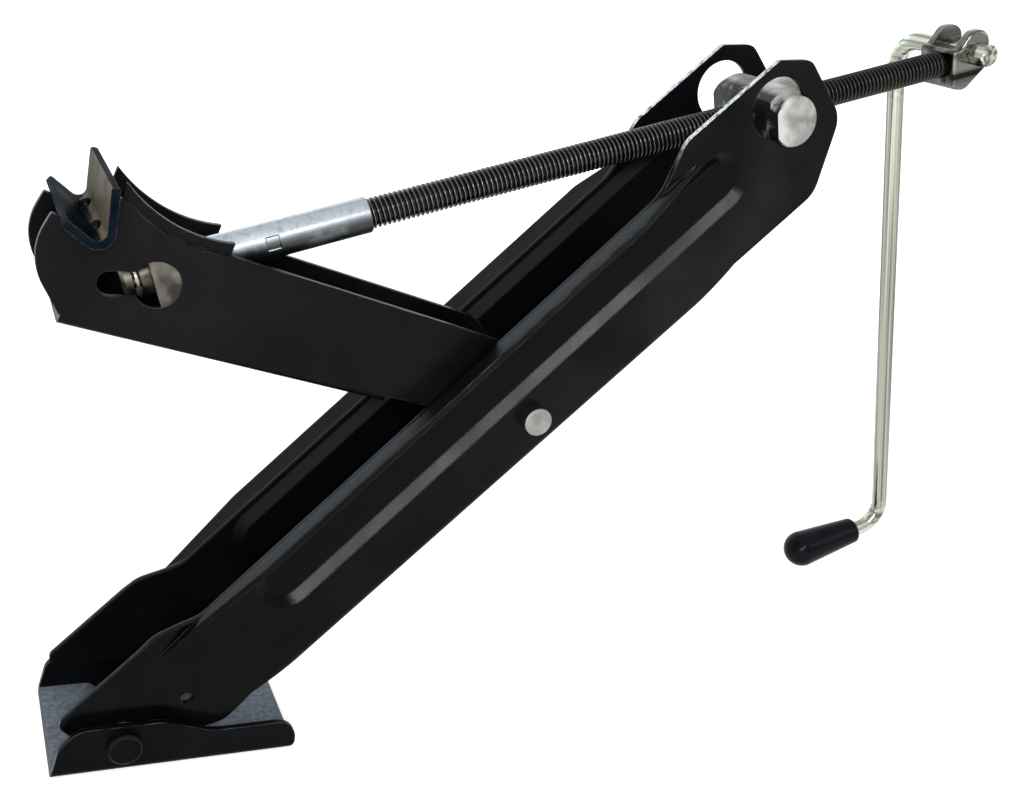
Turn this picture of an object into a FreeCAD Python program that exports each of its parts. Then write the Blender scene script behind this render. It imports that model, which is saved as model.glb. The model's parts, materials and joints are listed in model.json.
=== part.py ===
import FreeCAD, Part
import math
import os

from FreeCAD import Vector

# Half-scissor screw jack: a long channel arm on a pivoting foot, a short lift arm pivoted in it,
# and a crank-turned lead screw that joins the two arm ends.
# Millimetres, +Z up.  The origin is the centre of the foot's underside.
# +X runs from the foot toward the crank and +Y across the channels.

# Linkage: the two pivot reaches are equal, so both screw pivots turn by half the lift angle
reach = 188.0
arm_angle = 45.3
nut_angle = 8.9
spread_angle = 107.7
foot_run = 240.4
foot_rise = 20.8

# Fits and clearances
running_fit = 0.05
side_gap = 0.3
thread_gap = 0.15

# Foot: a pressed channel lying open side up
foot_length = 112.0
foot_width = 71.0
foot_sheet = 3.0
foot_corner = 3.6
foot_pivot_x = -24.3
foot_pivot_z = 14.5
foot_wall_high = 24.5
foot_wall_low = 16.5
foot_high_end = 18.0
foot_low_start = 40.0
foot_rivet_r = 6.0
foot_rivet_head_r = 7.8
foot_rivet_head = 4.5
foot_rivet_chamfer = 0.8

# Main arm: a pressed channel, its open side toward the lift arm
arm_width = 52.0
arm_sheet = 3.0
arm_corner = 6.0
arm_back = 17.0
arm_past_nut = 22.3
arm_past_foot = 14.0
arm_edge = 43.1
rib_tilt = 1.25
top_ear_rim = 4.4
top_ear = 50.0
top_ramp = 24.0
top_nose_run = 14.0
top_nose_drop = 11.0
toe_ear_edge = 48.0
toe_ear = 44.0
toe_ramp = 20.0
toe_heel = 34.0
toe_gap = 0.6
toe_splay = 2.5
splay_ramp = 22.0
bead_low = 12.0
bead_depth = 3.5
bead_under_edge = 2.5
bead_flank = 5.5
bead_from_foot = 88.4
bead_from_nut = 30.7
lip_out = 10.5
lip_rise = 1.5
lip_step = 0.3
lip_from_foot = 104.0
lip_from_nut = 90.0
web_from_foot = 50.4
web_from_nut = 61.7
web_run_out = 34.0
drain_hole_r = 3.0
drain_run = 31.7
drain_drop = 8.0
lobe_back = 3.2
lobe_rise = 10.2

# Lift arm: a narrower channel, its open side up
lift_gap = 0.5
lift_sheet = 3.0
lift_corner = 4.0
lift_heel_r = 13.0
lift_web_slope = 4.3
lift_web_end = 72.0
lift_head_length = 48.0
lift_head_depth = 29.0
lift_top_edge = 28.5
dip_r = 64.0
dip_depth = 8.5
dip_past_thrust = 8.0
dip_head_end = 26.0
dip_arm_end = 24.0
dip_step = 6.5
flange_width = 3.2
flange_rise = 4.5
keyhole_r = 9.8
keyhole_slot_r = 5.4
keyhole_slot_run = 18.4
keyhole_slot_angle = 18.5

# Saddle: a bent trough that carries the vehicle's sill
saddle_length = 72.0
saddle_sheet = 3.5
saddle_bend_r = 3.5
saddle_valley_x = -27.8
saddle_valley_z = 10.6
saddle_short_flank = 18.0
saddle_tall_flank = 24.5
saddle_tilt = 20.0
saddle_lean = 15.0
saddle_edge_r = 1.1
tab_r = 1.4
tab_head_r = 3.2
tab_root = 4.0

# Lift pivot
lift_rivet_r = 6.0
lift_rivet_head_r = 7.0
lift_rivet_head = 6.5
lift_rivet_chamfer = 0.6
spacer_sheet = 2.5
lift_washer_sheet = 3.5

# Lead screw and its two cross pieces
screw_r = 7.0
screw_neck_r = 5.0
screw_past_nut = 115.0
sleeve_r = 8.2
sleeve_end = 97.0
nut_end_r = 12.2
nut_body_r = 14.5
nut_proud = 2.5
nut_flat = 10.0
nut_barrel_r = 13.5
nut_barrel = 17.0
nut_chamfer = 0.7
thrust_face = -1.0
race_r = 9.6
race_thick = 4.2
ball_r = 1.5
ball_count = 10
cage_thick = 1.2
cap_r = 9.0
cap_length = 4.5
cap_chamfer = 1.2
sleeve_chamfer = 0.5

# Crank: yoke on the screw's end, bent rod, moulded grip
yoke_width = 26.0
yoke_ear = 5.0
yoke_ear_r = 9.0
yoke_ear_top = 11.5
yoke_base = 8.0
yoke_low = 13.0
yoke_high = 8.8
yoke_edge_r = 1.6
pin_rise = 4.8
pin_past_screw = 6.0
rod_r = 4.7
rod_plane_y = 48.0
rod_length = 320.0
rod_lean = 1.5
rod_top_bend = 19.0
rod_low_bend = 16.0
hex_flats = 10.0
hex_length = 10.0
hex_chamfer = 1.2
grip_length = 52.5
grip_edge_r = 2.5
grip_neck_r = 8.4
grip_belly_r = 11.5
grip_wall = 8.0
grip_stem = 5.0

lift_width = arm_width - 2 * (arm_sheet + bead_depth + lift_gap)
half_arm = arm_width / 2
half_lift = lift_width / 2
half_foot = foot_width / 2
saddle_half = math.radians((90.0 - saddle_tilt - saddle_lean) / 2)
lift_angle = arm_angle + nut_angle + spread_angle - 180.0
screw_angle = arm_angle + nut_angle + spread_angle / 2 - 90.0
pivot_span = 2 * reach * math.sin(math.radians(spread_angle / 2))
Y_AXIS = Vector(0, 1, 0)
BIG = 1000.0
SMALL = 1e-6


def turned(x, z, angle):
    """The point (x, z) of the XZ plane turned by an angle from +X toward +Z."""
    c = math.cos(math.radians(angle))
    s = math.sin(math.radians(angle))
    return x * c - z * s, x * s + z * c


def outline(corners):
    """Closed wire in the XZ plane through (x, z, corner radius) points."""
    stops = []
    for i, (x, z, radius) in enumerate(corners):
        here = Vector(x, 0, z)
        last_x, last_z, _ = corners[i - 1]
        next_x, next_z, _ = corners[(i + 1) % len(corners)]
        back = Vector(last_x, 0, last_z) - here
        ahead = Vector(next_x, 0, next_z) - here
        if radius == 0:
            stops.append((here, here, here))
            continue
        half = back.getAngle(ahead) / 2
        back.normalize()
        ahead.normalize()
        trim = radius / math.tan(half)
        middle = (back + ahead).normalize() * (radius / math.sin(half) - radius)
        stops.append((here + back * trim, here + middle, here + ahead * trim))
    edges = []
    for i, (start, middle, end) in enumerate(stops):
        if (end - start).Length > SMALL:
            edges.append(Part.Arc(start, middle, end).toShape())
        onward = stops[(i + 1) % len(stops)][0]
        if (onward - end).Length > SMALL:
            edges.append(Part.LineSegment(end, onward).toShape())
    return Part.Wire(edges)


def plate(corners, y_low, y_high):
    """Flat plate with the given outline, between two Y levels."""
    face = Part.Face(outline(corners))
    face.translate(Vector(0, y_low, 0))
    return face.extrude(Vector(0, y_high - y_low, 0))


def pin(radius, y_low, y_high, x=0.0, z=0.0):
    """Cylinder along Y."""
    return Part.makeCylinder(radius, y_high - y_low, Vector(x, y_low, z), Y_AXIS)


def rod(radius, x_low, x_high):
    """Cylinder along X."""
    return Part.makeCylinder(radius, x_high - x_low, Vector(x_low, 0, 0), Vector(1, 0, 0))


def ring(outer_r, inner_r, y_low, y_high):
    """Washer or tube along Y."""
    return pin(outer_r, y_low, y_high).cut(pin(inner_r, y_low, y_high))


def both_sides(shape):
    """The shape and its mirror image across the XZ plane."""
    return [shape, shape.mirror(Vector(0, 0, 0), Y_AXIS)]


def channel(x_low, x_high, width, sheet, corner, height):
    """Channel along X, open upward, its outside bottom at Z = 0 with rounded corners."""
    length = x_high - x_low
    outer = Part.makeBox(length, width, height, Vector(x_low, -width / 2, 0))
    inner = Part.makeBox(length, width - 2 * sheet, height, Vector(x_low, sheet - width / 2, sheet))

    def round_floor(block, radius):
        floor_edges = [e for e in block.Edges if e.BoundBox.ZMax < block.BoundBox.ZMin + SMALL]
        return block.makeFillet(radius, [e for e in floor_edges if e.BoundBox.XLength > length - SMALL])

    return round_floor(outer, corner).cut(round_floor(inner, corner - sheet))


def along(shape, x, z, angle):
    """The shape moved from its own frame to (x, z), its own X raised by an angle."""
    moved = shape.copy()
    moved.rotate(Vector(0, 0, 0), Y_AXIS, -angle)
    moved.translate(Vector(x, 0, z))
    return moved


# Pivot places: foot pivot, lift pivot A, nut pivot B and thrust pivot C
foot_x, foot_z = turned(foot_run, -foot_rise, arm_angle)
lift_x = foot_pivot_x + foot_x
lift_z = foot_pivot_z + foot_z
nut_u, nut_v = turned(reach, 0, nut_angle)
thrust_x, thrust_z = turned(-reach, 0, lift_angle)
thrust_x += lift_x
thrust_z += lift_z


def in_arm(shape):
    return along(shape, lift_x, lift_z, arm_angle)


def in_lift(shape):
    return along(shape, lift_x, lift_z, lift_angle)


def in_screw(shape):
    return along(shape, thrust_x, thrust_z, screw_angle)


def make_foot():
    end = foot_length / 2
    pressing = channel(-end, end, foot_width, foot_sheet, foot_corner, foot_wall_high)
    side = [
        (-end, 0, 0),
        (-end + 3, foot_wall_high * 0.6, 8),
        (-end + 11, foot_wall_high, 10),
        (foot_pivot_x + foot_high_end, foot_wall_high, 24),
        (foot_pivot_x + foot_low_start, foot_wall_low, 24),
        (end, foot_wall_low, 10),
        (end, 0, 5),
    ]
    foot = pressing.common(plate(side, -foot_width, foot_width))
    return foot.cut(pin(foot_rivet_r, -foot_width, foot_width, foot_pivot_x, foot_pivot_z))


def rivet(shank_r, head_r, head_height, chamfer, half_grip):
    """Headed pin along Y whose two heads sit outside a grip centred on Y = 0."""
    face = half_grip + head_height
    head = pin(head_r, half_grip, face)
    head = head.makeChamfer(chamfer, [e for e in head.Edges if e.BoundBox.YMin > face - SMALL])
    return pin(shank_r, -half_grip, half_grip).multiFuse(both_sides(head)).removeSplitter()


def make_foot_rivet():
    shape = rivet(foot_rivet_r, foot_rivet_head_r, foot_rivet_head, foot_rivet_chamfer, half_foot)
    return along(shape, foot_pivot_x, foot_pivot_z, 0)


def make_foot_washer():
    outer = half_foot - foot_sheet
    inner = half_arm + toe_splay + side_gap
    washer = ring(foot_rivet_head_r, foot_rivet_r + running_fit, inner, outer)
    return along(washer, foot_pivot_x, foot_pivot_z, 0)


def arm_wall():
    """One pressed wall of the main arm on the +Y side, in the arm's own frame."""
    low = arm_corner - arm_back
    foot_u = -foot_run
    toe = foot_u - arm_past_foot
    toe_r = foot_pivot_z - foot_sheet - toe_gap
    top = nut_u + arm_past_nut
    slope = math.tan(math.radians(rib_tilt))
    ramp_edge_u = foot_u + toe_ear + toe_ramp
    lip_end_u = nut_u - top_ear - top_ramp
    top_edge = nut_v + lobe_rise + nut_body_r + side_gap + top_ear_rim
    side = [
        (toe, toe_ear_edge, 4),
        (foot_u + toe_ear, toe_ear_edge, 16),
        (ramp_edge_u, arm_edge + ramp_edge_u * slope, 16),
        (lip_end_u, arm_edge + lip_end_u * slope, 26),
        (nut_u - top_ear, top_edge, 14),
        (top - top_nose_run, top_edge, 3),
        (top, top_edge - top_nose_drop, 7),
        (top, nut_v - nut_end_r - 3.8, 14),
        (nut_u - 8, low, 16),
        (foot_u + toe_heel, low, 20),
        (foot_u + 4, foot_rise - toe_r, 9),
        (foot_u - toe_r, foot_rise - toe_r, toe_r),
        (foot_u - toe_r, foot_rise + 1, 3),
        (toe, foot_rise + toe_r, 4),
    ]
    outside = half_arm + toe_splay
    ramp_low = foot_u + toe_heel
    ramp_high = ramp_low + splay_ramp
    strip = [
        (-BIG, outside),
        (ramp_low, outside),
        (ramp_high, half_arm),
        (BIG, half_arm),
        (BIG, half_arm - arm_sheet),
        (ramp_high, half_arm - arm_sheet),
        (ramp_low, outside - arm_sheet),
        (-BIG, outside - arm_sheet),
    ]
    ring_points = [Vector(x, y, -BIG) for x, y in strip + strip[:1]]
    sheet = Part.Face(Part.makePolygon(ring_points)).extrude(Vector(0, 0, 2 * BIG))
    wall = sheet.common(plate(side, 0, outside + 1))

    def bead(shift):
        """The pressed groove as a tapered block, moved inward by a shift."""
        wires = []
        for level in (-1.0, bead_depth):
            inset = level * bead_flank / bead_depth
            start = foot_u + bead_from_foot + inset
            end = nut_u - bead_from_nut - inset
            low_v = bead_low + inset
            high_v = arm_edge - bead_under_edge - inset
            round_r = (high_v - low_v) / 2
            corners = [(start, low_v), (end, low_v), (end, high_v), (start, high_v)]
            slot = outline([(u, v, round_r) for u, v in corners])
            slot.translate(Vector(0, half_arm - level - shift, 0))
            wires.append(slot)
        return Part.makeLoft(wires, True, True)

    def lip_section(u, root_y, tip_y):
        """Cross-section of the nearly flat lip from its root in the wall to its tip."""
        root_v = arm_edge - lip_step
        tip_v = root_v + (tip_y - root_y) * lip_rise / lip_out
        corners = [
            (root_y, root_v),
            (tip_y, tip_v),
            (tip_y, tip_v - arm_sheet),
            (root_y, root_v - arm_sheet),
        ]
        return Part.makePolygon([Vector(u, y, v) for y, v in corners + corners[:1]])

    root_y = half_arm - arm_sheet + lip_step
    buried_y = half_arm - lip_step
    lip_y = half_arm + lip_out
    half_y = half_arm + lip_out * 0.5
    lip = Part.makeLoft([
        lip_section(ramp_low, root_y + toe_splay, buried_y + toe_splay),
        lip_section(ramp_high + lip_out * 0.7, root_y, half_y),
        lip_section(foot_u + lip_from_foot, root_y, lip_y),
        lip_section(nut_u - lip_from_nut, root_y, lip_y),
        lip_section(nut_u - top_ear, root_y, buried_y),
    ], True, True)
    wall = wall.fuse(along(bead(arm_sheet), 0, 0, rib_tilt))
    return wall.cut(along(bead(0.0), 0, 0, rib_tilt)).fuse(along(lip, 0, 0, rib_tilt))


def make_main_arm():
    start = web_from_foot - foot_run
    end = nut_u - web_from_nut
    web = channel(start, end, arm_width, arm_sheet, arm_corner, arm_corner + arm_sheet)
    web.translate(Vector(0, 0, -arm_back))
    for edge, way in ((end, -1), (start, 1)):
        inner_end = edge + way * web_run_out
        outer_end = edge - way
        wedge = [
            (inner_end, -arm_back, 0),
            (outer_end, arm_corner - arm_back, 0),
            (outer_end, -BIG, 0),
            (inner_end, -BIG, 0),
        ]
        web = web.cut(plate(wedge, -arm_width, arm_width))
    arm = web.multiFuse(both_sides(arm_wall())).removeSplitter()
    wide = 2 * arm_width
    holes = [
        pin(lift_rivet_r, -wide, wide),
        pin(foot_rivet_r + running_fit, -wide, wide, -foot_run, foot_rise),
        pin(nut_end_r + running_fit, -wide, wide, nut_u, nut_v),
        pin(nut_body_r + side_gap, -wide, wide, nut_u - lobe_back, nut_v + lobe_rise),
        pin(drain_hole_r, -wide, wide, drain_run - foot_run, foot_rise - drain_drop),
    ]
    for hole in holes:
        arm = arm.cut(hole)
    return in_arm(arm)


def make_lift_rivet():
    return in_arm(rivet(lift_rivet_r, lift_rivet_head_r, lift_rivet_head, lift_rivet_chamfer, half_arm))


def make_lift_spacer():
    half = half_lift - lift_sheet - side_gap
    return in_arm(ring(lift_rivet_r + spacer_sheet, lift_rivet_r + running_fit, -half, half))


def make_lift_washer():
    outer_r = lift_rivet_r + lift_washer_sheet
    inner_y = half_lift + side_gap
    return in_arm(ring(outer_r, lift_rivet_r + running_fit, inner_y, half_arm - arm_sheet))


def saddle_lines():
    """Corners of the saddle's trough: inside from short flank to tall flank, then the outside."""
    x = saddle_valley_x - reach
    z = saddle_valley_z
    short_x, short_z = turned(-saddle_short_flank, 0, -saddle_tilt)
    tall_x, tall_z = turned(0, saddle_tall_flank, saddle_lean)
    below_x, below_z = turned(0, -saddle_sheet, -saddle_tilt)
    beside_x, beside_z = turned(saddle_sheet, 0, saddle_lean)
    middle = 135.0 + (saddle_lean - saddle_tilt) / 2
    corner_x, corner_z = turned(-saddle_sheet / math.sin(saddle_half), 0, middle)
    inside = [(x + short_x, z + short_z), (x, z), (x + tall_x, z + tall_z)]
    outside = [
        (x + tall_x + beside_x, z + tall_z + beside_z),
        (x + corner_x, z + corner_z),
        (x + short_x + below_x, z + short_z + below_z),
    ]
    return inside, outside


def saddle_trough():
    """The bent saddle sheet before its tab holes, in the lift arm's own frame."""
    inside, outside = saddle_lines()
    shape = [
        inside[0] + (saddle_edge_r,),
        inside[1] + (saddle_bend_r,),
        inside[2] + (saddle_edge_r,),
        outside[0] + (saddle_edge_r,),
        outside[1] + (saddle_bend_r + saddle_sheet,),
        outside[2] + (saddle_edge_r,),
    ]
    return plate(shape, -saddle_length / 2, saddle_length / 2)


def tab_line():
    """Seat of the +Y tab's head at the bottom of the trough, and the tab's own direction."""
    inside, outside = saddle_lines()
    y = half_lift - lift_sheet / 2
    corner = Vector(inside[1][0], y, inside[1][1])
    way = (corner - Vector(outside[1][0], y, outside[1][1])).normalize()
    return corner + way * (saddle_bend_r / math.sin(saddle_half) - saddle_bend_r), way


def tab_shank(radius):
    """Round tab of the lift arm's wall, from inside the wall through the sheet into the head."""
    seat, way = tab_line()
    depth = saddle_sheet + tab_root
    return Part.makeCylinder(radius, depth + tab_head_r / 2, seat - way * depth, way)


def tab_head():
    """Peened dome that sits just above the saddle sheet."""
    seat, way = tab_line()
    sheet = saddle_trough()
    sheet.translate(way * running_fit)
    return Part.makeSphere(tab_head_r, seat).cut(sheet)


def make_saddle():
    trough = saddle_trough()
    for hole in both_sides(tab_shank(tab_r + running_fit)):
        trough = trough.cut(hole)
    return in_lift(trough)


def make_lift_arm():
    outside = saddle_lines()[1]
    head = -reach - lift_head_length
    low = lift_corner - side_gap
    slope = math.radians(lift_web_slope)
    web_low = -reach - lift_head_length * 0.64
    web_run = -lift_web_end - web_low
    web_end_z = web_run * math.tan(slope) - lift_head_depth
    web_length = web_run / math.cos(slope)
    web = channel(0, web_length, lift_width, lift_sheet, lift_corner, lift_corner + lift_sheet)
    web = along(web, web_low, -lift_head_depth, lift_web_slope)
    dip_start = -reach - dip_head_end
    dip_end = -reach + dip_arm_end
    side = [
        (web_low, low - lift_head_depth, 6),
        (head - 3, -6, 26),
        (head, outside[2][1], 2),
        (dip_start, lift_top_edge, 3),
        (dip_end, lift_top_edge, 0),
        (dip_end, lift_top_edge - dip_step, 0),
        (-30, lift_top_edge, 14),
        (-2, lift_heel_r, 8),
        (lift_heel_r, lift_heel_r, lift_heel_r - side_gap),
        (lift_heel_r, -lift_heel_r, lift_heel_r - side_gap),
        (-40, -lift_heel_r + 1, 20),
        (4 - lift_web_end, web_end_z + low, 20),
    ]
    inner_y = half_lift - lift_sheet
    wall = plate(side, inner_y, half_lift)
    dip_x = -reach + dip_past_thrust
    dip_z = lift_top_edge - dip_depth + dip_r
    reach_of_dip = [(dip_start + 1, 0, 0), (dip_end, 0, 0), (dip_end, dip_z, 0), (dip_start + 1, dip_z, 0)]
    keep = plate(reach_of_dip, 0, half_lift)
    band = pin(dip_r + lift_sheet, inner_y - flange_width, inner_y + running_fit, dip_x, dip_z)
    band = band.cut(pin(dip_r - flange_rise, 0, half_lift, dip_x, dip_z)).common(keep)
    wall = wall.fuse(band)
    wall = wall.cut(pin(dip_r, inner_y, half_lift, dip_x, dip_z).common(keep))
    arm = web.multiFuse(both_sides(wall)).removeSplitter()
    notch = [
        outside[0] + (0,),
        outside[1] + (saddle_bend_r + saddle_sheet,),
        outside[2] + (0,),
        (head - lift_width, outside[2][1], 0),
        (head - lift_width, BIG, 0),
        (outside[0][0], BIG, 0),
    ]
    arm = arm.cut(plate(notch, -lift_width, lift_width))
    slot_x, slot_z = turned(-keyhole_slot_run, 0, keyhole_slot_angle)
    slot_r = keyhole_slot_r
    side_x, side_z = turned(0, slot_r, keyhole_slot_angle)
    slot = plate([
        (side_x - reach, side_z, 0),
        (slot_x + side_x - reach, slot_z + side_z, 0),
        (slot_x - side_x - reach, slot_z - side_z, 0),
        (-side_x - reach, -side_z, 0),
    ], -lift_width, lift_width)
    holes = [
        pin(lift_rivet_r + running_fit, -lift_width, lift_width),
        pin(keyhole_r + running_fit, -lift_width, lift_width, -reach, 0),
        slot,
        pin(slot_r, -lift_width, lift_width, slot_x - reach, slot_z),
    ]
    for hole in holes:
        arm = arm.cut(hole)
    return in_lift(arm.multiFuse(both_sides(tab_shank(tab_r).fuse(tab_head()))))


# Screw frame: origin at the thrust pivot, X along the screw toward the nut
race_back = thrust_face - race_thick
cap_face = race_back - 2 * ball_r - 2 * running_fit
screw_start = cap_face - cap_length
screw_end = pivot_span + screw_past_nut
yoke_start = screw_end - yoke_base
pin_x = screw_end + pin_past_screw
ball_ring_r = (screw_neck_r + race_r) / 2


def make_nut():
    wall_in = half_arm - arm_sheet - side_gap
    face = half_arm + nut_proud
    ends = pin(nut_end_r, -face, face)
    ends = ends.makeChamfer(nut_chamfer, [e for e in ends.Edges if e.BoundBox.YLength < SMALL])
    bar = ends.fuse(pin(nut_body_r, -wall_in, wall_in))
    behind = Part.makeBox(BIG, BIG, BIG, Vector(-nut_flat - BIG, -BIG / 2, -BIG / 2))
    barrel = rod(nut_barrel_r, -nut_flat, nut_barrel)
    outer_edges = [e for e in barrel.Edges if e.BoundBox.XMin > nut_barrel - SMALL]
    barrel = barrel.makeChamfer(nut_chamfer, outer_edges)
    nut = bar.cut(behind).fuse(barrel).removeSplitter()
    nut = nut.cut(rod(screw_r + thread_gap, -BIG, BIG))
    nut.translate(Vector(pivot_span, 0, 0))
    return in_screw(nut)


def make_thrust_trunnion():
    bar = pin(keyhole_r, -half_lift, half_lift)
    behind = Part.makeBox(BIG, BIG, BIG, Vector(thrust_face - BIG, -BIG / 2, -BIG / 2))
    return in_screw(bar.cut(behind).cut(rod(screw_r + thread_gap, -BIG, BIG)))


def make_race():
    return in_screw(rod(race_r, race_back, thrust_face).cut(rod(screw_neck_r + side_gap, -BIG, BIG)))


def ball_places():
    step = 360.0 / ball_count
    x = race_back - ball_r - running_fit
    return [Vector(x, *turned(ball_ring_r, 0, step * i)) for i in range(ball_count)]


def make_balls():
    return in_screw(Part.makeCompound([Part.makeSphere(ball_r, place) for place in ball_places()]))


def make_cage():
    middle = ball_places()[0].x
    cage = rod(race_r - side_gap, middle - cage_thick / 2, middle + cage_thick / 2)
    cage = cage.cut(rod(screw_neck_r + side_gap, -BIG, BIG))
    for place in ball_places():
        pocket = rod(ball_r + side_gap, middle - cage_thick, middle + cage_thick)
        pocket.translate(Vector(0, place.y, place.z))
        cage = cage.cut(pocket)
    return in_screw(cage)


def make_screw():
    neck = rod(screw_neck_r, screw_start, 0)
    thread = rod(screw_r, 0, screw_end)
    return in_screw(neck.fuse(thread).removeSplitter())


def make_cap():
    cap = rod(cap_r, screw_start, cap_face)
    cap = cap.makeChamfer(cap_chamfer, [e for e in cap.Edges if e.BoundBox.XMax < screw_start + SMALL])
    return in_screw(cap.cut(rod(screw_neck_r + running_fit, -BIG, BIG)))


def make_sleeve():
    tube = rod(sleeve_r, keyhole_r + side_gap, sleeve_end)
    tube = tube.makeChamfer(sleeve_chamfer, [e for e in tube.Edges if e.BoundBox.XLength < SMALL])
    return in_screw(tube.cut(rod(screw_r + running_fit, -BIG, BIG)))


def make_yoke():
    half = yoke_width / 2
    r = yoke_ear_r
    side = [
        (yoke_start, -yoke_low + 2, 3),
        (screw_end, -yoke_low, 6),
        (pin_x + r, pin_rise - r * 0.8, r * 0.6),
        (pin_x + r, pin_rise + yoke_ear_top, r * 0.8),
        (pin_x - r * 0.3, pin_rise + yoke_ear_top, r * 0.6),
        (screw_end - 4, yoke_high, 3),
        (yoke_start, yoke_high, 2),
    ]
    block = plate(side, -half, half)
    block = block.makeFillet(yoke_edge_r, [e for e in block.Edges if e.BoundBox.YLength < SMALL])
    inner = half - yoke_ear
    gap = Part.makeBox(BIG, 2 * inner, BIG, Vector(screw_end, -inner, -BIG / 2))
    valley = Part.makeBox(BIG, 2 * inner, BIG, Vector(yoke_start, -inner, yoke_high))
    yoke = block.cut(gap).cut(valley).cut(rod(screw_r + running_fit, yoke_start, screw_end))
    return in_screw(yoke.cut(pin(rod_r + running_fit, -half, half, pin_x, pin_rise)))


def at_pin(shape):
    """The shape swung about the yoke's pin by the rod's lean, then moved with the screw."""
    leaned = shape.copy()
    leaned.rotate(Vector(pin_x, 0, pin_rise), Y_AXIS, rod_lean)
    return in_screw(leaned)


def make_crank_rod():
    """Rod from its hexagon end through both yoke ears, down beside the screw and into the grip."""
    near = -yoke_width / 2 - side_gap
    x, y, z = pin_x, rod_plane_y, pin_rise
    low_z = z - rod_length
    b = rod_top_bend
    k = rod_low_bend
    bend = 1 - math.sqrt(0.5)
    inner = grip_length + grip_stem - grip_wall
    top_in = Vector(x, y - b, z)
    top_mid = Vector(x, y - b * bend, z - b * bend)
    top_out = Vector(x, y, z - b)
    low_in = Vector(x, y, low_z + k)
    low_mid = Vector(x - k * bend, y, low_z + k * bend)
    low_out = Vector(x - k, y, low_z)
    path = Part.Wire([
        Part.LineSegment(Vector(x, near, z), top_in).toShape(),
        Part.Arc(top_in, top_mid, top_out).toShape(),
        Part.LineSegment(top_out, low_in).toShape(),
        Part.Arc(low_in, low_mid, low_out).toShape(),
        Part.LineSegment(low_out, low_out - Vector(inner, 0, 0)).toShape(),
    ])
    section = Part.Wire([Part.Circle(Vector(x, near, z), Y_AXIS, rod_r).toShape()])
    bar = path.makePipeShell([section], True, False)
    corner_r = hex_flats / 2 / math.cos(math.radians(30))
    points = [turned(corner_r, 0, 60 * i) for i in range(7)]
    hexagon = Part.Face(Part.makePolygon([Vector(x + px, near, z + pz) for px, pz in points]))
    head = hexagon.extrude(Vector(0, -hex_length, 0))
    cone_height = hex_length + hex_chamfer
    tip = Vector(x, near - hex_length, z)
    cone = Part.makeCone(corner_r - hex_chamfer, corner_r + hex_length, cone_height, tip, Y_AXIS)
    return at_pin(bar.fuse(head.common(cone)).removeSplitter())


def grip_axis():
    return pin_x - rod_low_bend - grip_stem, rod_plane_y, pin_rise - rod_length


def make_grip():
    """Moulded grip: a cone that widens from its neck to a round end, bored for the rod."""
    x, y, z = grip_axis()
    end = x - grip_length
    belly_x = end + grip_belly_r
    side = math.sqrt(0.5)
    trim = grip_edge_r * (1 - side)
    start = Vector(x, 0, 0)
    rim = Vector(x, 0, grip_neck_r - grip_edge_r)
    rim_mid = Vector(x - trim, 0, grip_neck_r - trim)
    neck = Vector(x - grip_edge_r, 0, grip_neck_r)
    belly = Vector(belly_x, 0, grip_belly_r)
    nose_mid = Vector(belly_x - grip_belly_r * side, 0, grip_belly_r * side)
    nose = Vector(end, 0, 0)
    edges = [
        Part.LineSegment(start, rim).toShape(),
        Part.Arc(rim, rim_mid, neck).toShape(),
        Part.LineSegment(neck, belly).toShape(),
        Part.Arc(belly, nose_mid, nose).toShape(),
        Part.LineSegment(nose, start).toShape(),
    ]
    solid = Part.Face(Part.Wire(edges)).revolve(Vector(0, 0, 0), Vector(1, 0, 0), 360)
    solid = solid.cut(rod(rod_r + running_fit, end + grip_wall - side_gap, x + 1))
    solid.translate(Vector(0, y, z))
    return at_pin(solid)


near_far = {"near": -1, "far": 1}


def side_of(shape, side):
    """The +Y piece for the far side, its mirror image for the near side."""
    return shape if side > 0 else shape.mirror(Vector(0, 0, 0), Y_AXIS)


parts = {
    "foot_plate": make_foot(),
    "foot_pivot_rivet": make_foot_rivet(),
    "main_arm": make_main_arm(),
    "lift_pivot_rivet": make_lift_rivet(),
    "lift_pivot_spacer": make_lift_spacer(),
    "lift_arm": make_lift_arm(),
    "saddle": make_saddle(),
    "trunnion_nut": make_nut(),
    "thrust_trunnion": make_thrust_trunnion(),
    "thrust_race": make_race(),
    "thrust_balls": make_balls(),
    "thrust_ball_cage": make_cage(),
    "lead_screw": make_screw(),
    "screw_end_cap": make_cap(),
    "stop_sleeve": make_sleeve(),
    "crank_yoke": make_yoke(),
    "crank_rod": make_crank_rod(),
    "crank_grip": make_grip(),
}
for name, side in near_far.items():
    parts["foot_washer_" + name] = side_of(make_foot_washer(), side)
    parts["lift_washer_" + name] = side_of(make_lift_washer(), side)

os.makedirs("parts", exist_ok=True)
for name, shape in parts.items():
    shape.exportStep(f"parts/{name}.step")
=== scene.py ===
import json
import math

import bmesh
import bpy
from mathutils import Matrix, Vector


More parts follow.
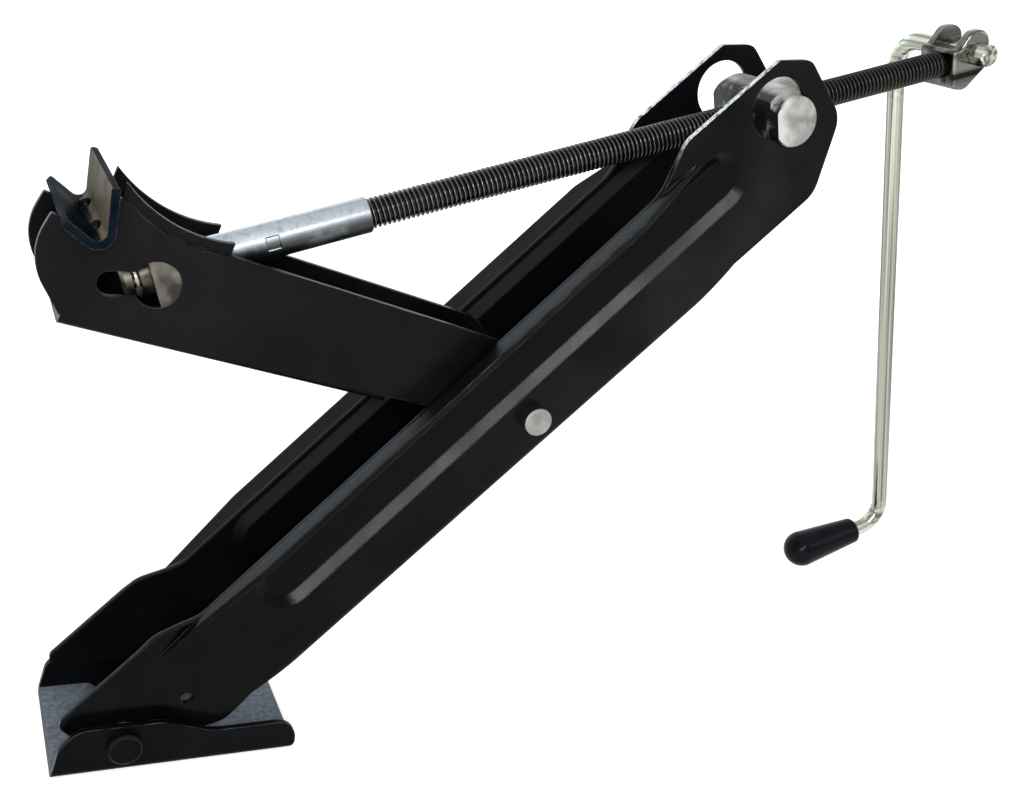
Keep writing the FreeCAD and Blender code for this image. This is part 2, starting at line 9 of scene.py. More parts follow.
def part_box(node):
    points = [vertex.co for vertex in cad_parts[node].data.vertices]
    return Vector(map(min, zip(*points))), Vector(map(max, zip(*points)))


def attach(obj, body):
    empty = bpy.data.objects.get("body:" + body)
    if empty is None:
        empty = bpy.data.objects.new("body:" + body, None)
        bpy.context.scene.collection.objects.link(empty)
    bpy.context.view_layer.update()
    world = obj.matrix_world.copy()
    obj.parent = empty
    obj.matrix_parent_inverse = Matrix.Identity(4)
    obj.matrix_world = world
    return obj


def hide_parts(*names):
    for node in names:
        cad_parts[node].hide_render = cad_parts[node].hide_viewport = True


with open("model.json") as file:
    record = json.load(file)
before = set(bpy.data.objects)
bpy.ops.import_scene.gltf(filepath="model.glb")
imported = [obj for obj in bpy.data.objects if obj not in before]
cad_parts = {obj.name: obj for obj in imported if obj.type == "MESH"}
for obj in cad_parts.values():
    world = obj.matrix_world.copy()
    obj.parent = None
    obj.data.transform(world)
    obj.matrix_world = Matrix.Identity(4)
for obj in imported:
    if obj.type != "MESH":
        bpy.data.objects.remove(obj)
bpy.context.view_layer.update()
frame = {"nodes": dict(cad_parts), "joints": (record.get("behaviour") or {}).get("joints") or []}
nodes = frame["nodes"]
joints = {joint["name"]: joint for joint in frame["joints"]}

# Main arm: a long channel pressed from 3 mm steel, with a bead and a turned-out lip on each wall.
# It is dipped in black enamel, thin on the sheared edges and rubbed to steel on the top ears.
# Painted shade: the bead's recess and the channel's inside are painted deep black, and the outside is
# painted darker toward the bottom.
MM = 0.001


def add(tree, kind, inputs=None, **settings):
    """A new shader node with its settings, its plain inputs and its links."""
    made = tree.nodes.new(kind)
    for key, value in settings.items():
        setattr(made, key, value)
    shade(tree, made, inputs or {})
    return made


def shade(tree, shader, inputs):
    """Sets or links a shader's own sockets."""
    for key, value in inputs.items():
        if isinstance(value, bpy.types.NodeSocket):
            tree.links.new(value, shader.inputs[key])
        else:
            shader.inputs[key].default_value = value


def source(surface, key):
    """The socket that is linked to one of the surface shader's sockets so far."""
    return surface.inputs[key].links[0].from_socket


def new_finish(name):
    """A new material with its tree, its surface shader and the piece's own coordinates."""
    material = bpy.data.materials.new(name)
    material.use_nodes = True
    tree = material.node_tree
    place = add(tree, "ShaderNodeTexCoord").outputs["Object"]
    return material, tree, tree.nodes["Principled BSDF"], place


def ramp(tree, value, low, high, first=0.0, last=1.0):
    """Number that goes from first to last while a value goes from low to high."""
    inputs = {"Value": value, "From Min": low, "From Max": high, "To Min": first, "To Max": last}
    return add(tree, "ShaderNodeMapRange", inputs).outputs["Result"]


def between(tree, amount, first, last):
    """Number between two numbers, by an amount from 0 to 1."""
    return ramp(tree, amount, 0.0, 1.0, first, last)


def blend(tree, amount, first, last):
    """Colour between two colours, by an amount from 0 to 1."""
    inputs = {"Factor": amount, 6: first, 7: last}
    return add(tree, "ShaderNodeMix", inputs, data_type="RGBA").outputs[2]


def work_out(tree, operation, *numbers):
    """One step of arithmetic on numbers."""
    return add(tree, "ShaderNodeMath", dict(enumerate(numbers)), operation=operation).outputs[0]


def times(tree, first, second):
    """Product of two masks, or of a mask and a number."""
    return work_out(tree, "MULTIPLY", first, second)


def vector_step(tree, operation, *vectors):
    """One step of arithmetic on vectors, with both its results."""
    return add(tree, "ShaderNodeVectorMath", dict(enumerate(vectors)), operation=operation).outputs


def axes_of(tree, vector):
    """The X, Y and Z of a vector."""
    return add(tree, "ShaderNodeSeparateXYZ", {0: vector}).outputs


def noise(tree, place, per_metre, detail=3.0, low=0.35, high=0.65):
    """Cloudy pattern with about so many patches to the metre, spread to run from 0 to 1."""
    cloud = add(tree, "ShaderNodeTexNoise", {"Vector": place, "Scale": per_metre, "Detail": detail})
    return ramp(tree, cloud.outputs["Fac"], low, high)


def rounded(tree, radius):
    """Normal that rounds the edges of a piece."""
    return add(tree, "ShaderNodeBevel", {"Radius": radius}, samples=6).outputs["Normal"]


def along_edges(tree, soft):
    """Mask that is 1 on the edges that a normal rounds."""
    still_flat = 0.97
    well_rounded = 0.86
    flat = add(tree, "ShaderNodeNewGeometry").outputs["Normal"]
    return ramp(tree, vector_step(tree, "DOT_PRODUCT", soft, flat)["Value"], still_flat, well_rounded)


def bumped(tree, height, strength, depth, soft=None):
    """Normal with a pattern pressed into it, over a rounded normal where there is one."""
    inputs = {"Height": height, "Strength": strength, "Distance": depth}
    if soft is not None:
        inputs["Normal"] = soft
    return add(tree, "ShaderNodeBump", inputs).outputs["Normal"]


def facing(tree, way, low, high):
    """Mask that goes from 0 to 1 as the surface turns to face a direction."""
    square = add(tree, "ShaderNodeTexCoord").outputs["Normal"]
    return ramp(tree, vector_step(tree, "DOT_PRODUCT", square, way)["Value"], low, high)


def enamel(name, dark, pale, gloss, shine, wear, press_r=None):
    """Black enamel with orange peel and hazy patches that thins to grey on the edges."""
    material, tree, surface, place = new_finish(name)
    soft = rounded(tree, 0.7 * MM)
    haze = noise(tree, place, per_metre=22.0)
    thin = times(tree, along_edges(tree, soft), noise(tree, place, per_metre=130.0, low=0.4, high=0.7))
    thin = times(tree, thin, wear)
    thin_grey = (0.2, 0.2, 0.21, 1)
    peel = add(tree, "ShaderNodeTexNoise", {"Vector": place, "Scale": 700.0, "Detail": 2.0})
    if press_r is not None:
        soft = rounded(tree, press_r)
    shade(tree, surface, {
        "Base Color": blend(tree, thin, blend(tree, haze, dark, pale), thin_grey),
        "Roughness": between(tree, haze, gloss, gloss + 0.1),
        "Specular IOR Level": shine,
        "Normal": bumped(tree, peel.outputs["Fac"], strength=0.04, depth=0.4 * MM, soft=soft),
    })
    return material, tree, surface, place


def wear_finish(material, *names):
    """Gives CAD pieces a finish in place of their plain colour."""
    for name in names:
        nodes[name].data.materials.clear()
        nodes[name].data.materials.append(material)


painted_shade_black = (0.001, 0.0012, 0.0018, 1)
rubbed_steel = (0.6, 0.64, 0.68, 1)
wall_face = 26.0 * MM
shade_fade_low = 90.0 * MM
shade_fade_high = 200.0 * MM
off_the_arm = Vector((-0.71, 0, 0.7))
ear_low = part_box("trunnion_nut")[0].z
inside_rough = 0.45

black_enamel, tree, surface, place = enamel(
    "black_enamel", dark=(0.002, 0.002, 0.002, 1), pale=(0.008, 0.008, 0.0075, 1),
    gloss=0.15, shine=0.055, wear=0.5, press_r=1.6 * MM)
axes = axes_of(tree, place)
# Painted shade: the paint turns deep black where the surface lies in from the wall's outer face, in the
# bead's recess and on the inside, and more so low on the arm.
out_of_painted_shade = ramp(tree, work_out(tree, "ABSOLUTE", axes["Y"]), wall_face - 2.8 * MM, wall_face - 0.2 * MM)
out_of_painted_shade = times(tree, out_of_painted_shade, ramp(tree, axes["Z"], shade_fade_low, shade_fade_high, first=0.2))
paint = blend(tree, out_of_painted_shade, painted_shade_black, source(surface, "Base Color"))
ears = ramp(tree, axes["Z"], ear_low - 12.0 * MM, ear_low + 3.0 * MM)
wear_and_reflection = times(tree, facing(tree, off_the_arm, low=0.8, high=0.95), ears)
wear_and_reflection = times(tree, wear_and_reflection, noise(tree, place, per_metre=420.0, detail=4.0, low=0.3, high=0.5))
# The normal's Y times the place's Y is below zero on the inside faces of both walls.
square = add(tree, "ShaderNodeTexCoord").outputs["Normal"]
outward = times(tree, axes_of(tree, square)["Y"], axes["Y"])
outward = ramp(tree, outward, -5.0 * MM, 1.0 * MM)
shade(tree, surface, {
    "Base Color": blend(tree, wear_and_reflection, paint, rubbed_steel),
    "Metallic": times(tree, wear_and_reflection, 0.8),
    "Roughness": between(tree, outward, inside_rough, source(surface, "Roughness")),
})
wear_finish(black_enamel, "main_arm")

# Foot: a shallow pressed channel on the floor, in the same enamel but duller, and pale blue-grey in patches
# on its low upward faces.
# Its pivot rivet is upset cold over both walls and painted with them.
upward_grey = (0.17, 0.2, 0.24, 1)
patch_top = 8.0 * MM
patch_low = 6.0 * MM
up = Vector((0, 0, 1))

foot_enamel, tree, surface, place = enamel(
    "foot_enamel", dark=(0.001, 0.0012, 0.002, 1), pale=(0.003, 0.0032, 0.004, 1),
    gloss=0.26, shine=0.04, wear=0.6)
# The low upward faces turn a pale blue-grey in patches.
low_in_foot = ramp(tree, axes_of(tree, place)["Z"], patch_top, patch_low)
upward_patches = times(tree, facing(tree, up, low=0.9, high=1.0), low_in_foot)
upward_patches = times(tree, upward_patches, noise(tree, place, per_metre=420.0, detail=6.0, low=-0.1, high=0.7))
shade(tree, surface, {"Base Color": blend(tree, upward_patches, source(surface, "Base Color"), upward_grey)})
wear_finish(foot_enamel, "foot_plate", "foot_pivot_rivet")


# Lift pivot: a shouldered rivet with a spacer tube and washers on it, all plain steel.
# The heads are painted on their flanks and struck bare on their faces.
# The foot pivot's washers are cut from the same steel.
def struck_steel(name):
    """Dull steel with a fine pitted grain."""
    material, tree, surface, place = new_finish(name)
    grain = noise(tree, place, per_metre=600.0, detail=5.0)
    smear = noise(tree, place, per_metre=90.0)
    shade(tree, surface, {
        "Base Color": blend(tree, smear, (0.17, 0.17, 0.16, 1), (0.32, 0.31, 0.3, 1)),
        "Metallic": 0.75,
        "Roughness": between(tree, grain, 0.38, 0.55),
        "Normal": bumped(tree, grain, strength=0.25, depth=0.3 * MM, soft=rounded(tree, 0.4 * MM)),
    })
    return material, tree, surface, place


washer_steel = struck_steel("washer_steel")[0]
wear_finish(washer_steel, "lift_pivot_spacer", "lift_washer_near", "lift_washer_far")
wear_finish(washer_steel, "foot_washer_near", "foot_washer_far")

painted_flank = (0.006, 0.006, 0.008, 1)
rivet_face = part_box("lift_pivot_rivet")[1].y - 0.4 * MM
rivet_steel, tree, surface, place = struck_steel("rivet_steel")
from_middle = work_out(tree, "ABSOLUTE", axes_of(tree, place)["Y"])
struck = ramp(tree, from_middle, rivet_face - 0.5 * MM, rivet_face)
shade(tree, surface, {
    "Base Color": blend(tree, struck, painted_flank, source(surface, "Base Color")),
    "Metallic": times(tree, struck, 0.75),
})
wear_finish(rivet_steel, "lift_pivot_rivet")

# Lift arm: a shorter channel inside the main arm, in a slightly duller black.
# Its head has a dipped edge with a set-in band, and a keyhole for the screw's cross piece.
lift_enamel = enamel(
    "lift_enamel", dark=(0.002, 0.002, 0.002, 1), pale=(0.005, 0.005, 0.005, 1),
    gloss=0.3, shine=0.06, wear=0.5)[0]
wear_finish(lift_enamel, "lift_arm")

# Saddle: a bent plate that takes the car's sill, held by peened tabs of the lift arm.
# It is blued to a dark slate and bright on its sheared edges, and a painted warm-grey reflection lies on
# its tall flank.
blue_dark = (0.002, 0.003, 0.005, 1)
blue_pale = (0.006, 0.009, 0.013, 1)
warm_reflection = (0.17, 0.15, 0.11, 1)
bright_edge = (0.1, 0.115, 0.13, 1)
off_tall_flank = Vector((-0.9, 0, 0.4))
valley = sum(corner.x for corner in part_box("saddle")) / 2

saddle_plate, tree, surface, place = new_finish("saddle_plate")
soft = rounded(tree, 0.6 * MM)
cloud = noise(tree, place, per_metre=60.0)
grain = noise(tree, place, per_metre=800.0, detail=4.0)
tall_side = ramp(tree, axes_of(tree, place)["X"], valley - 1.0 * MM, valley + 3.0 * MM)
# Painted reflection: the tall flank's inner face is painted a warm grey in patches.
wear_and_reflection = times(tree, facing(tree, off_tall_flank, low=0.7, high=0.95), tall_side)
wear_and_reflection = times(tree, wear_and_reflection, noise(tree, place, per_metre=45.0, detail=4.0, low=0.2, high=0.5))
blued = blend(tree, wear_and_reflection, blend(tree, cloud, blue_dark, blue_pale), warm_reflection)
shade(tree, surface, {
    "Base Color": blend(tree, times(tree, along_edges(tree, soft), grain), blued, bright_edge),
    "Specular IOR Level": 0.003,
    "Roughness": between(tree, cloud, 0.35, 0.5),
    "Normal": bumped(tree, grain, strength=0.12, depth=0.2 * MM, soft=soft),
})
wear_finish(saddle_plate, "saddle")


# Nut and thrust cross piece: steel castings that pivot in the arms' walls.
# The nut is pale from blasting and the cross piece dark, and both carry painted shade, near black, on the
# side where the screw runs in.
def casting(name, dark, pale, shade_side):
    """Pitted casting, painted near black as painted shade on the side that faces one way."""
    material, tree, surface, place = new_finish(name)
    smear = noise(tree, place, per_metre=75.0, detail=5.0, low=0.38, high=0.62)
    pits = noise(tree, place, per_metre=520.0, detail=6.0)
    # Painted shade: near black in patches on the faces that turn toward one side.
    painted_shade = noise(tree, place, per_metre=140.0, low=0.2, high=0.45)
    painted_shade = times(tree, facing(tree, shade_side, low=0.3, high=0.5), painted_shade)
    shade_black = (0.006, 0.006, 0.006, 1)
    shade(tree, surface, {
        "Base Color": blend(tree, painted_shade, blend(tree, smear, dark, pale), shade_black),
        "Metallic": between(tree, painted_shade, 0.3, 0.0),
        "Roughness": between(tree, smear, 0.5, 0.34),
        "Specular IOR Level": 0.3,
        "Normal": bumped(tree, pits, strength=0.2, depth=0.4 * MM, soft=rounded(tree, 0.8 * MM)),
    })
    return material


screw_way = Vector(joints["screw_spin"]["axis"])
nut_casting = casting(
    "nut_casting", dark=(0.18, 0.18, 0.17, 1), pale=(0.5, 0.5, 0.48, 1), shade_side=-screw_way)
cross_casting = casting(
    "cross_casting", dark=(0.015, 0.013, 0.01, 1), pale=(0.13, 0.12, 0.1, 1), shade_side=-screw_way)
wear_finish(nut_casting, "trunnion_nut")
wear_finish(cross_casting, "thrust_trunnion")


# Thrust bearing: a ground race, a ring of balls in a stamped cage, and the screw's riveted end cap.
# It takes the whole load of the screw against the cross piece and runs in brown grease.
def ground_steel(name, dark, pale):
    """Smooth steel under a patchy film of oil."""
    material, tree, surface, place = new_finish(name)
    film = noise(tree, place, per_metre=160.0, detail=4.0)
    shade(tree, surface, {
        "Base Color": blend(tree, film, dark, pale),
        "Metallic": 0.9,
        "Roughness": between(tree, film, 0.34, 0.55),
        "Normal": rounded(tree, 0.3 * MM),
    })
    return material


race_steel = ground_steel("race_steel", dark=(0.05, 0.045, 0.03, 1), pale=(0.14, 0.13, 0.1, 1))
ball_steel = ground_steel("ball_steel", dark=(0.5, 0.5, 0.5, 1), pale=(0.62, 0.62, 0.62, 1))
cage_steel = ground_steel("cage_steel", dark=(0.3, 0.28, 0.22, 1), pale=(0.42, 0.4, 0.34, 1))
cap_steel = ground_steel("cap_steel", dark=(0.06, 0.055, 0.045, 1), pale=(0.2, 0.19, 0.165, 1))
wear_finish(race_steel, "thrust_race")
wear_finish(ball_steel, "thrust_balls")
wear_finish(cage_steel, "thrust_ball_cage")
wear_finish(cap_steel, "screw_end_cap")

# Lead screw: a rolled trapezoidal thread on 14 mm bar, phosphated black and oiled.
# Its crests are painted bright, partly as the nut's rubbing and partly as a painted highlight, less so
# toward the crank. Neck and sleeved length are plain.
thread_pitch = 2.27 * MM
thread_crest = 7.0 * MM
thread_root = 5.7 * MM
crest_rounding = 0.15 * MM
core_r = thread_root - 0.3 * MM
neck_r = 5.0 * MM
neck_start = -12.8 * MM
thread_start = 94.0 * MM
screw_end = 418.7 * MM
turns = math.floor((screw_end - thread_start) / thread_pitch) - 1
steps_per_turn = 32
bar_steps = 40
full_turn = 2 * math.pi
weld_distance = 0.002 * MM

across = Vector((0, 1, 0))
screw_axes = Matrix((screw_way, across, screw_way.cross(across))).transposed().to_4x4()
along_screw = Matrix.Translation(Vector(joints["screw_spin"]["pos_m"])) @ screw_axes


def profile(mesh, points):
    """Open line of vertices through (x, radius) points, ready to be spun about X."""
    corners = [mesh.verts.new((x, 0, r)) for x, r in points]
    edges = [mesh.edges.new(pair) for pair in zip(corners, corners[1:])]
    return corners + edges


def finish_mesh(mesh, name, matrix, smooth_angle):
    """Closes a bmesh, puts it in place and links it as a smooth-shaded piece."""
    bmesh.ops.remove_doubles(mesh, verts=mesh.verts, dist=weld_distance)
    bmesh.ops.recalc_face_normals(mesh, faces=mesh.faces)
    bmesh.ops.transform(mesh, matrix=matrix, verts=mesh.verts)
    data = bpy.data.meshes.new(name)
    mesh.to_mesh(data)
    mesh.free()
    data.shade_smooth()
    data.set_sharp_from_angle(angle=math.radians(smooth_angle))
    piece = bpy.data.objects.new(name, data)
    bpy.context.scene.collection.objects.link(piece)
    return piece


screw_mesh = bmesh.new()
ridge_line = profile(screw_mesh, [
    (thread_start, thread_root),
    (thread_start + 0.26 * thread_pitch, thread_root),
    (thread_start + 0.48 * thread_pitch, thread_crest - crest_rounding),
    (thread_start + 0.58 * thread_pitch, thread_crest),
    (thread_start + 0.68 * thread_pitch, thread_crest),
    (thread_start + 0.78 * thread_pitch, thread_crest - crest_rounding),
    (thread_start + thread_pitch, thread_root)])
bmesh.ops.spin(screw_mesh, geom=ridge_line, cent=(0, 0, 0), axis=(1, 0, 0), angle=full_turn,
               steps=steps_per_turn, dvec=(thread_pitch / steps_per_turn, 0, 0))
one_turn = [*screw_mesh.verts, *screw_mesh.edges, *screw_mesh.faces]
for turn in range(1, turns):
    copied = bmesh.ops.duplicate(screw_mesh, geom=one_turn)["geom"]
    moved = [part for part in copied if isinstance(part, bmesh.types.BMVert)]
    bmesh.ops.translate(screw_mesh, verts=moved, vec=(turn * thread_pitch, 0, 0))
bmesh.ops.remove_doubles(screw_mesh, verts=screw_mesh.verts, dist=weld_distance)
open_ends = [edge for edge in screw_mesh.edges if edge.is_boundary]
bmesh.ops.holes_fill(screw_mesh, edges=open_ends, sides=0)
bar_line = profile(screw_mesh, [
    (neck_start, 0),
    (neck_start, neck_r),
    (0, neck_r),
    (0, thread_crest),
    (thread_start, thread_crest),
    (thread_start, core_r),
    (screw_end, core_r),
    (screw_end, 0)])
bmesh.ops.spin(screw_mesh, geom=bar_line, cent=(0, 0, 0), axis=(1, 0, 0), angle=full_turn,
               steps=bar_steps, use_merge=True)
spindle = finish_mesh(screw_mesh, "threaded_spindle", along_screw, smooth_angle=38)
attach(spindle, "screw")
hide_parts("lead_screw")

oil_dark = (0.002, 0.002, 0.002, 1)
oil_pale = (0.006, 0.005, 0.005, 1)
rubbed_and_lit_crest = (0.17, 0.155, 0.14, 1)
crest_fade_start = 250.0 * MM
black_end = 350.0 * MM
black_left = 0.3
phosphate, tree, surface, place = new_finish("oiled_phosphate")
oil = noise(tree, place, per_metre=55.0, detail=4.0)
grain = noise(tree, place, per_metre=900.0)
square_to_screw = along_screw.inverted()
in_screw = add(tree, "ShaderNodeMapping", {
    "Vector": place,
    "Location": square_to_screw.to_translation(),
    "Rotation": square_to_screw.to_euler(),
}).outputs["Vector"]
off_axis = vector_step(tree, "MULTIPLY", in_screw, (0, 1, 1))["Vector"]
from_axis = vector_step(tree, "LENGTH", off_axis)["Value"]
# Painted highlight with the nut's rubbing: the thread crests turn bright, fading toward the crank.
crest_wear_and_highlight = ramp(tree, from_axis, thread_crest - 0.1 * MM, thread_crest)
crest_wear_and_highlight = times(tree, crest_wear_and_highlight, ramp(tree, axes_of(tree, in_screw)["X"], crest_fade_start, black_end, 1.0, black_left))
shade(tree, surface, {
    "Base Color": blend(tree, crest_wear_and_highlight, blend(tree, oil, oil_dark, oil_pale), rubbed_and_lit_crest),
    "Metallic": times(tree, crest_wear_and_highlight, 0.8),
    "Roughness": between(tree, oil, 0.16, 0.26),
    "Specular IOR Level": 0.2,
    "Normal": bumped(tree, grain, strength=0.12, depth=0.2 * MM),
})
spindle.data.materials.append(phosphate)

# Stop sleeve: a zinc-plated tube pushed onto the screw and fixed by a square punch mark.
# The plating is bright above, with streaks along the tube that are marks and painted reflections both, and
# painted shade darkens its underside.
sleeve_start = 10.1 * MM
sleeve_end = 97.0 * MM
sleeve_r = 8.2 * MM
sleeve_bore = 7.05 * MM
chamfer = 0.5 * MM
sleeve_steps = 64
punch_middle = 52.0 * MM
punch_height = 0.8 * MM
punch_half = 3.0 * MM
punch_slope = 0.3 * MM
punch_depth = 0.5 * MM
sleeve_mesh = bmesh.new()
wall_line = [
    (sleeve_start, sleeve_bore),
    (sleeve_start, sleeve_r - chamfer),
    (sleeve_start + chamfer, sleeve_r),
    (punch_middle - punch_half, sleeve_r),
    (punch_middle + punch_half, sleeve_r),
    (sleeve_end - chamfer, sleeve_r),
    (sleeve_end, sleeve_r - chamfer),
    (sleeve_end, sleeve_bore)]
wall_loop = profile(sleeve_mesh, wall_line + wall_line[:1])
bmesh.ops.spin(sleeve_mesh, geom=wall_loop, cent=(0, 0, 0), axis=(1, 0, 0), angle=full_turn,
               steps=sleeve_steps, use_merge=True)
bmesh.ops.recalc_face_normals(sleeve_mesh, faces=sleeve_mesh.faces)


def in_punch_mark(face):
    """True for a face of the tube's near side that the punch pressed in."""
    middle = face.calc_center_median()
    outside = math.hypot(middle.y, middle.z) > sleeve_r - chamfer
    on_near_side = middle.y < 0 and abs(middle.z - punch_height) < punch_half
    return outside and on_near_side and abs(middle.x - punch_middle) < punch_half


pressed = [face for face in sleeve_mesh.faces if in_punch_mark(face)]
bmesh.ops.inset_region(sleeve_mesh, faces=pressed, thickness=punch_slope, depth=-punch_depth,
                       use_even_offset=True)
sleeve = finish_mesh(sleeve_mesh, "punched_sleeve", along_screw, smooth_angle=30)
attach(sleeve, "screw")
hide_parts("stop_sleeve")


def streaks_and_reflections(tree, place, way, fine):
    """Pattern of long streaks along one direction, with about fine of them side by side in a metre."""
    turn = way.to_track_quat("X", "Z").to_matrix().inverted().to_euler()
    lined_up = add(tree, "ShaderNodeMapping", {"Vector": place, "Rotation": turn}).outputs["Vector"]
    lengths_per_metre = 2.5
    drawn = vector_step(tree, "MULTIPLY", lined_up, (lengths_per_metre / fine, 1, 1))["Vector"]
    return noise(tree, drawn, per_metre=fine, low=0.38, high=0.62)


def zinc(name, way, dark, pale, rough, fine):
    """Bright zinc whose tone runs in streaks along one direction, painted reflections as well as marks."""
    material, tree, surface, place = new_finish(name)
    cloud = noise(tree, place, per_metre=35.0)
    shade(tree, surface, {
        "Base Color": blend(tree, streaks_and_reflections(tree, place, way, fine), dark, pale),
        "Metallic": 1.0,
        "Roughness": between(tree, cloud, rough, rough + 0.08),
        "Normal": bumped(tree, cloud, strength=0.04, depth=0.4 * MM, soft=rounded(tree, 0.5 * MM)),
    })
    return material, tree, surface, place


scuffed_zinc = (0.16, 0.19, 0.23, 1)
shade_zinc = (0.05, 0.052, 0.05, 1)
underside = across.cross(screw_way)
sleeve_zinc, tree, surface, place = zinc(
    "sleeve_zinc", screw_way, dark=(0.36, 0.4, 0.45, 1), pale=(0.58, 0.63, 0.68, 1),
    rough=0.38, fine=240.0)
# Painted shade: the tube darkens toward its underside, in patches.
painted_shade = noise(tree, place, per_metre=60.0, detail=4.0, low=0.1, high=0.5)
painted_shade = times(tree, facing(tree, underside, low=-1.0, high=0.1), painted_shade)
scuffs = times(tree, noise(tree, place, per_metre=420.0, detail=6.0, low=0.48, high=0.7), 0.45)
plated = blend(tree, scuffs, source(surface, "Base Color"), scuffed_zinc)
shade(tree, surface, {"Base Color": blend(tree, painted_shade, plated, shade_zinc)})
sleeve.data.materials.append(sleeve_zinc)

# Crank: a forged fork on the screw's end, and a drawn rod with a hexagon end pinned through it.
# Both are zinc plated, the fork dull over its forged skin and the rod streaked along its length; the
# streaks on both are painted reflections as well as marks in the plating.
rod_dark = (0.1, 0.1, 0.09, 1)
rod_pale = (0.54, 0.57, 0.47, 1)
rod_fine = 360.0
bend_run = 18.0 * MM
leg_top = joints["crank_fold"]["pos_m"][2] - bend_run
leg_low = joints["grip_spin"]["pos_m"][2] + bend_run / 2
grip_way = Vector(joints["grip_spin"]["axis"])
leg_way = grip_way.cross(across)

yoke_zinc = zinc(
    "yoke_zinc", screw_way, dark=(0.012, 0.012, 0.011, 1), pale=(0.2, 0.2, 0.18, 1),
    rough=0.16, fine=120.0)[0]
wear_finish(yoke_zinc, "crank_yoke")

rod_zinc, tree, surface, place = zinc(
    "rod_zinc", leg_way, dark=rod_dark, pale=rod_pale, rough=0.14, fine=rod_fine)
height = axes_of(tree, place)["Z"]
tone = source(surface, "Base Color")
# The streaks, painted reflections as well as marks, follow the rod round its bends too.
for way, leg_end, into_leg in ((across, leg_top, -bend_run), (grip_way, leg_low, bend_run)):
    short_run = blend(tree, streaks_and_reflections(tree, place, way, rod_fine), rod_dark, rod_pale)
    tone = blend(tree, ramp(tree, height, leg_end, leg_end + into_leg), short_run, tone)
shade(tree, surface, {"Base Color": tone})
wear_finish(rod_zinc, "crank_rod")

# Grip: black plastic moulded to spin on the rod, wider toward its round end.
# The skin is a fine leather grain, glossy where it has been handled.
grip_plastic, tree, surface, place = new_finish("grip_plastic")
handled = noise(tree, place, per_metre=70.0, detail=4.0)
leather = noise(tree, place, per_metre=1400.0, detail=2.0)
shade(tree, surface, {
    "Base Color": blend(tree, handled, (0.002, 0.003, 0.004, 1), (0.005, 0.006, 0.008, 1)),
    "Roughness": between(tree, handled, 0.14, 0.24),
    "Specular IOR Level": 0.06,
    "Normal": bumped(tree, leather, strength=0.08, depth=0.2 * MM),
})
wear_finish(grip_plastic, "crank_grip")

# Floor and backdrop: one sheet of white paper that sweeps up behind the jack.
# It glows, less so near the jack, so that the ground is white and still takes the shadow.
sheet_half = 5.0
sheet_front = -4.0
sheet_back = 2.2
sheet_rise = 3.0
sweep_r = 0.8
sweep_steps = 16
sheet_mesh = bmesh.new()
front_corners = [sheet_mesh.verts.new((x, sheet_front, 0)) for x in (-sheet_half, sheet_half)]
front_edge = sheet_mesh.edges.new(front_corners)


def pull(edge, offset):
    """Extrudes an edge and moves the new edge by an offset."""
    made = bmesh.ops.extrude_edge_only(sheet_mesh, edges=[edge])["geom"]
    corners = [part for part in made if isinstance(part, bmesh.types.BMVert)]
    bmesh.ops.translate(sheet_mesh, verts=corners, vec=offset)
    return next(part for part in made if isinstance(part, bmesh.types.BMEdge))


back_edge = pull(front_edge, (0, sheet_back - sheet_front, 0))
swept = bmesh.ops.spin(sheet_mesh, geom=[back_edge, *back_edge.verts], cent=(0, sheet_back, sweep_r),
                       axis=(1, 0, 0), angle=math.pi / 2, steps=sweep_steps)["geom_last"]
top_edge = next(part for part in swept if isinstance(part, bmesh.types.BMEdge))
pull(top_edge, (0, 0, sheet_rise))
floor = finish_mesh(sheet_mesh, "floor_sheet", Matrix.Identity(4), smooth_angle=60)


def seen_directly(tree):
    """1 for what the camera, a mirror face or glass sees, and 0 for the light that falls on the piece."""
    rays = add(tree, "ShaderNodeLightPath").outputs
    mirrored = work_out(tree, "ADD", rays["Is Camera Ray"], rays["Is Glossy Ray"])
    return work_out(tree, "ADD", mirrored, rays["Is Transmission Ray"])


shadow_reach = 0.5
white_from = 1.6
paper, tree, surface, place = new_finish("floor_paper")
paper_tone = noise(tree, place, per_metre=3.0)
from_jack = vector_step(tree, "LENGTH", place)["Value"]
glow = ramp(tree, from_jack, shadow_reach, white_from, first=0.4, last=0.95)
shade(tree, surface, {
    "Base Color": blend(tree, paper_tone, (0.86, 0.86, 0.86, 1), (0.88, 0.88, 0.88, 1)),
    "Roughness": 0.9,
    "Specular IOR Level": 0.0,
    "Emission Color": (1, 1, 1, 1),
    "Emission Strength": times(tree, seen_directly(tree), glow),
})
floor.data.materials.append(paper)

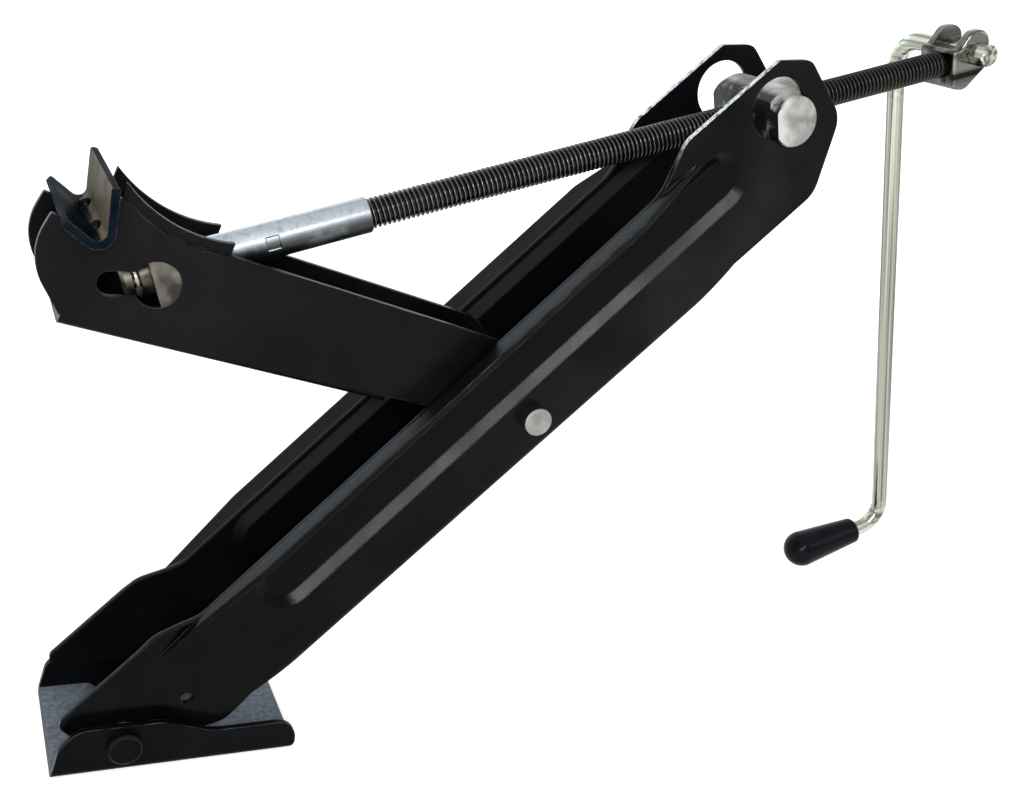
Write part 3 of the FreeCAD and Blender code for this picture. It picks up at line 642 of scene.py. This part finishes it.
# Light: a strip lamp in front, laid along the arm so that the bead's lower flank mirrors all of it.
# A weak lamp stands at the right, and a weaker strip of cool light behind.
lit_spot = Vector((0.15, 0, 0.18))
along_arm = Vector((0.7, 0, 0.71))
white_light = (1, 1, 1)
cool_light = (0.5, 0.75, 1.0)
for name, spot, long_side, short_side, power, tint in (
        ("key_strip", Vector((-0.23, -0.97, 0.6)), 1.0, 0.09, 12.0, white_light),
        ("side_lamp", Vector((1.5, -0.9, 1.0)), 0.8, 0.8, 4.0, white_light),
        ("rim_strip", Vector((-0.1, 1.4, 0.5)), 1.1, 0.3, 2.0, cool_light)):
    lamp = bpy.data.lights.new(name, "AREA")
    lamp.shape = "RECTANGLE"
    lamp.size = long_side
    lamp.size_y = short_side
    lamp.energy = power
    lamp.color = tint
    holder = bpy.data.objects.new(name, lamp)
    bpy.context.scene.collection.objects.link(holder)
    away = (spot - lit_spot).normalized()
    side = (along_arm - along_arm.project(away)).normalized()
    turned = Matrix((side, away.cross(side), away)).transposed().to_4x4()
    holder.matrix_world = Matrix.Translation(spot) @ turned
    holder.visible_camera = False

# Surroundings: a white studio, whose light comes mostly from overhead.
# It looks white all round, so the paper's edge doesn't show from any side.
sky = bpy.data.worlds.new("studio_sky")
sky.use_nodes = True
tree = sky.node_tree
sky_height = axes_of(tree, add(tree, "ShaderNodeTexCoord").outputs["Generated"])["Z"]
glow = ramp(tree, sky_height, low=0.15, high=0.9, first=0.05, last=1.0)
white = work_out(tree, "MAXIMUM", glow, seen_directly(tree))
shade(tree, tree.nodes["Background"], {"Color": (1, 1, 1, 1), "Strength": white})
bpy.context.scene.world = sky
bpy.context.scene.view_settings.view_transform = "Standard"

# Camera: the photograph's viewpoint, from near the jack and a little above it.
# It is turned about its own axis, because the picture is, and its lens is of normal length.
eye = Vector((-0.1043, -0.5120, 0.3856))
azimuth = math.radians(-27.32)
elevation = math.radians(20.72)
roll = math.radians(9.83)
frame_width_px = 1024
focal_px = 1230
sensor_width = 36.0
level_back = Vector((math.sin(azimuth), -math.cos(azimuth), 0))
back = level_back * math.cos(elevation) + up * math.sin(elevation)
right = up.cross(back).normalized()
level = Matrix((right, back.cross(right), back)).transposed()
camera_data = bpy.data.cameras.new("camera")
camera_data.sensor_width = sensor_width
camera_data.lens = sensor_width * focal_px / frame_width_px
camera_data.clip_start = 0.01
camera = bpy.data.objects.new("camera", camera_data)
bpy.context.scene.collection.objects.link(camera)
camera.matrix_world = Matrix.Translation(eye) @ (level @ Matrix.Rotation(roll, 3, "Z")).to_4x4()
bpy.context.scene.camera = camera
